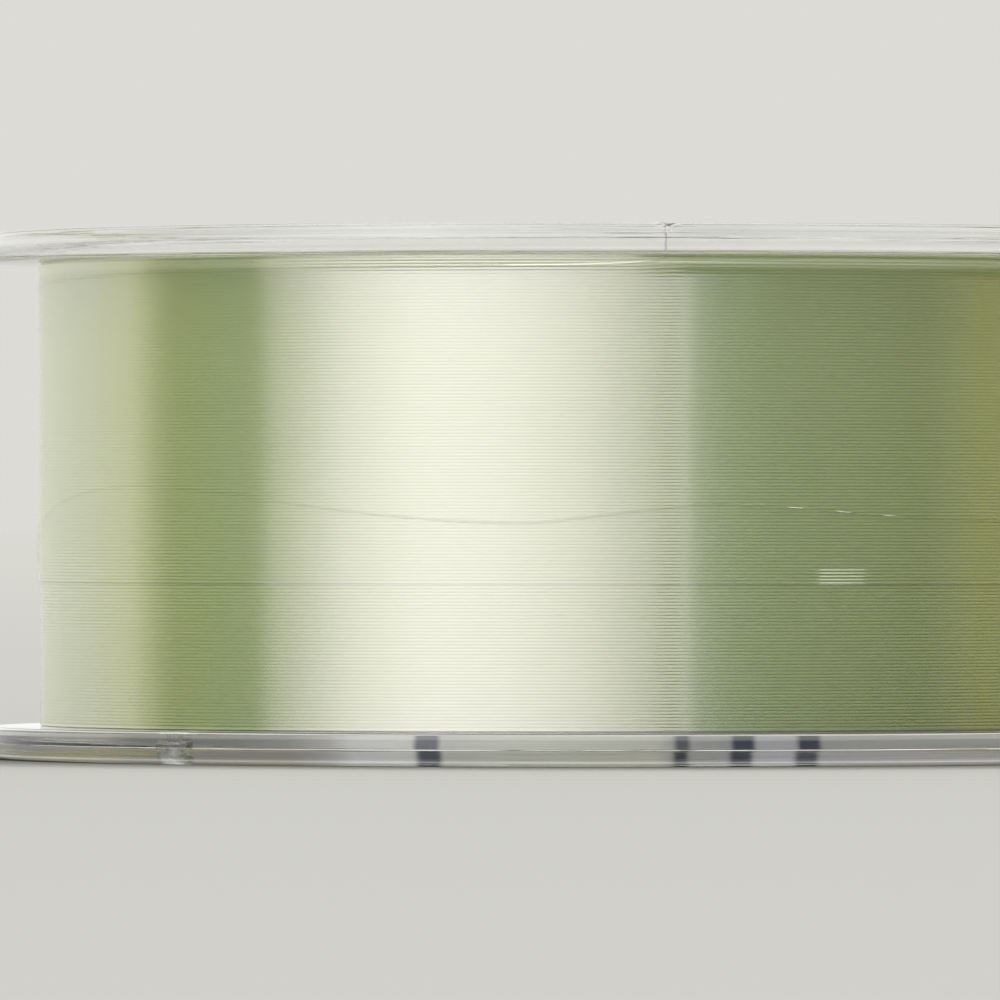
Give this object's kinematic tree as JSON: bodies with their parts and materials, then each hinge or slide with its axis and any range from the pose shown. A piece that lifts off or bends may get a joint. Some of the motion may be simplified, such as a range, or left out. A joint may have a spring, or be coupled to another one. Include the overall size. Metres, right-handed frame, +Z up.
{
  "type": "fishing line spool",
  "caption": "Clear flanged spool wound with pale green fishing line, its last turn led across the pack to a slit in the upper flange.",
  "frame": {"origin": "centre of the spool's axis in the plane of the lower outer face", "axes": "+Z up along the spool's axis; -Y towards the side where the slit is"},
  "size_m": [0.092, 0.092, 0.0392],
  "materials": {
    "spool_plastic": "clear, polished mould",
    "label": "satin film",
    "tape": "satin film",
    "line": "smooth translucent monofilament"
  },
  "bodies": {
    "root": {"lower_spool_half": "spool_plastic", "upper_spool_half": "spool_plastic", "lower_face_label": "label", "upper_face_label": "label", "line_start_tape": "tape", "line_inner_layers": "line", "line_under_layer": "line", "line_outer_layer": "line", "line_last_turn": "line"}
  },
  "joints": []
}
